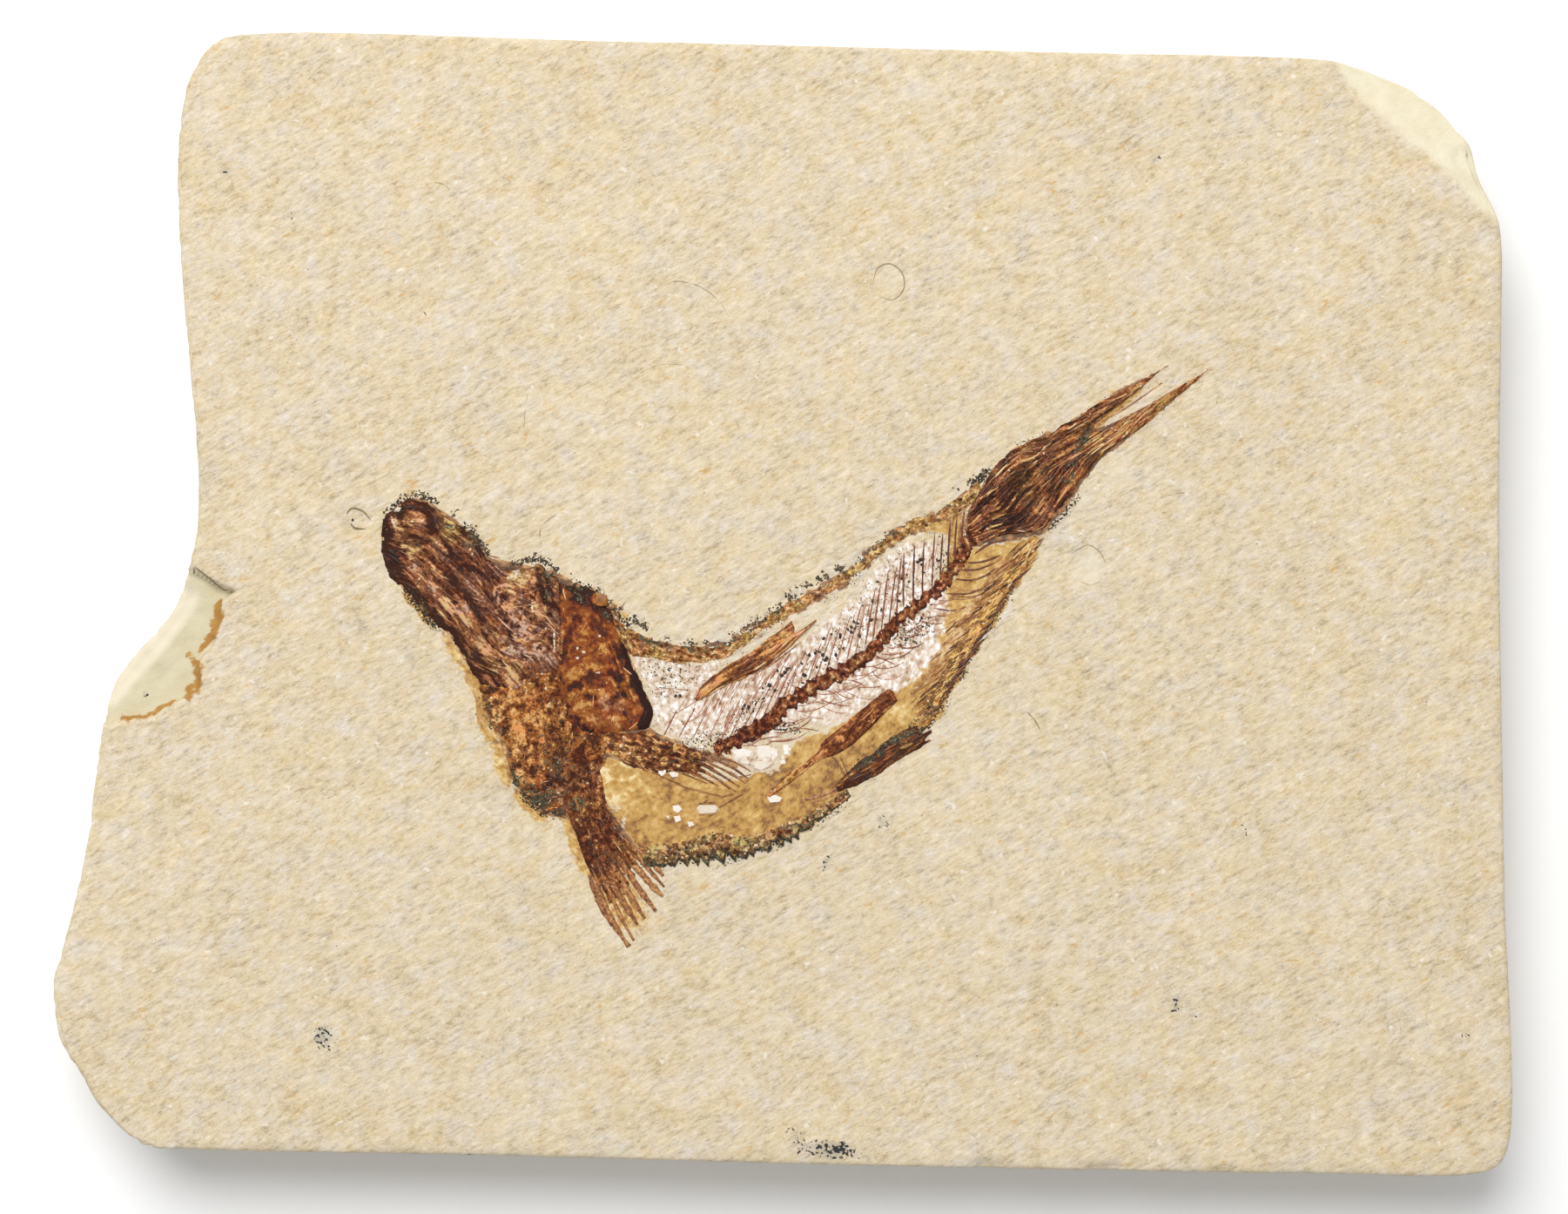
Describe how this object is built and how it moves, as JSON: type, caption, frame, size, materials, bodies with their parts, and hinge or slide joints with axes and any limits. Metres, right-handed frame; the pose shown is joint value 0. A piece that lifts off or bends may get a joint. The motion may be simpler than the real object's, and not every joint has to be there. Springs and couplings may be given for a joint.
{
  "type": "fossil fish slab",
  "caption": "Flat loose slab of pale limestone with a small herring-like fossil fish in its split face: skull, gill cover, fins, backbone and forked tail.",
  "frame": {"origin": "middle of the slab's outline, on the flat back that it rests on", "axes": "+X along the slab's long side, from the fish's head to its tail; +Y along the short side, towards the fish's back; +Z out of the split face with the fish"},
  "size_m": [0.1201, 0.0942, 0.0119],
  "materials": {
    "limestone": "dry, fine-grained split limestone, cream with tan mottles",
    "head_bone": "glossy dark brown mineralised bone with light streaks",
    "gill_bone": "semi-gloss orange-brown mineralised bone",
    "mottled_bone": "mottled tobacco-brown mineralised bone",
    "ray_bone": "dark brown fin rays",
    "spine_bone": "red-brown mineralised vertebrae",
    "golden_bone": "golden-brown streaked bone and skin",
    "dark_crust": "greenish-black mineral crust"
  },
  "bodies": {
    "root": {"limestone_slab": "limestone", "skull": "head_bone", "gill_cover": "gill_bone", "throat_bones": "mottled_bone", "lower_pectoral_fin": "ray_bone", "rear_pectoral_fin": "mottled_bone", "dorsal_fin": "ray_bone", "pelvic_fin": "ray_bone", "anal_fin": "dark_crust", "fin_support_bones": "golden_bone", "backbone": "spine_bone", "tail_fin": "ray_bone", "belly_scutes": "dark_crust", "back_ridge": "golden_bone"}
  },
  "joints": []
}
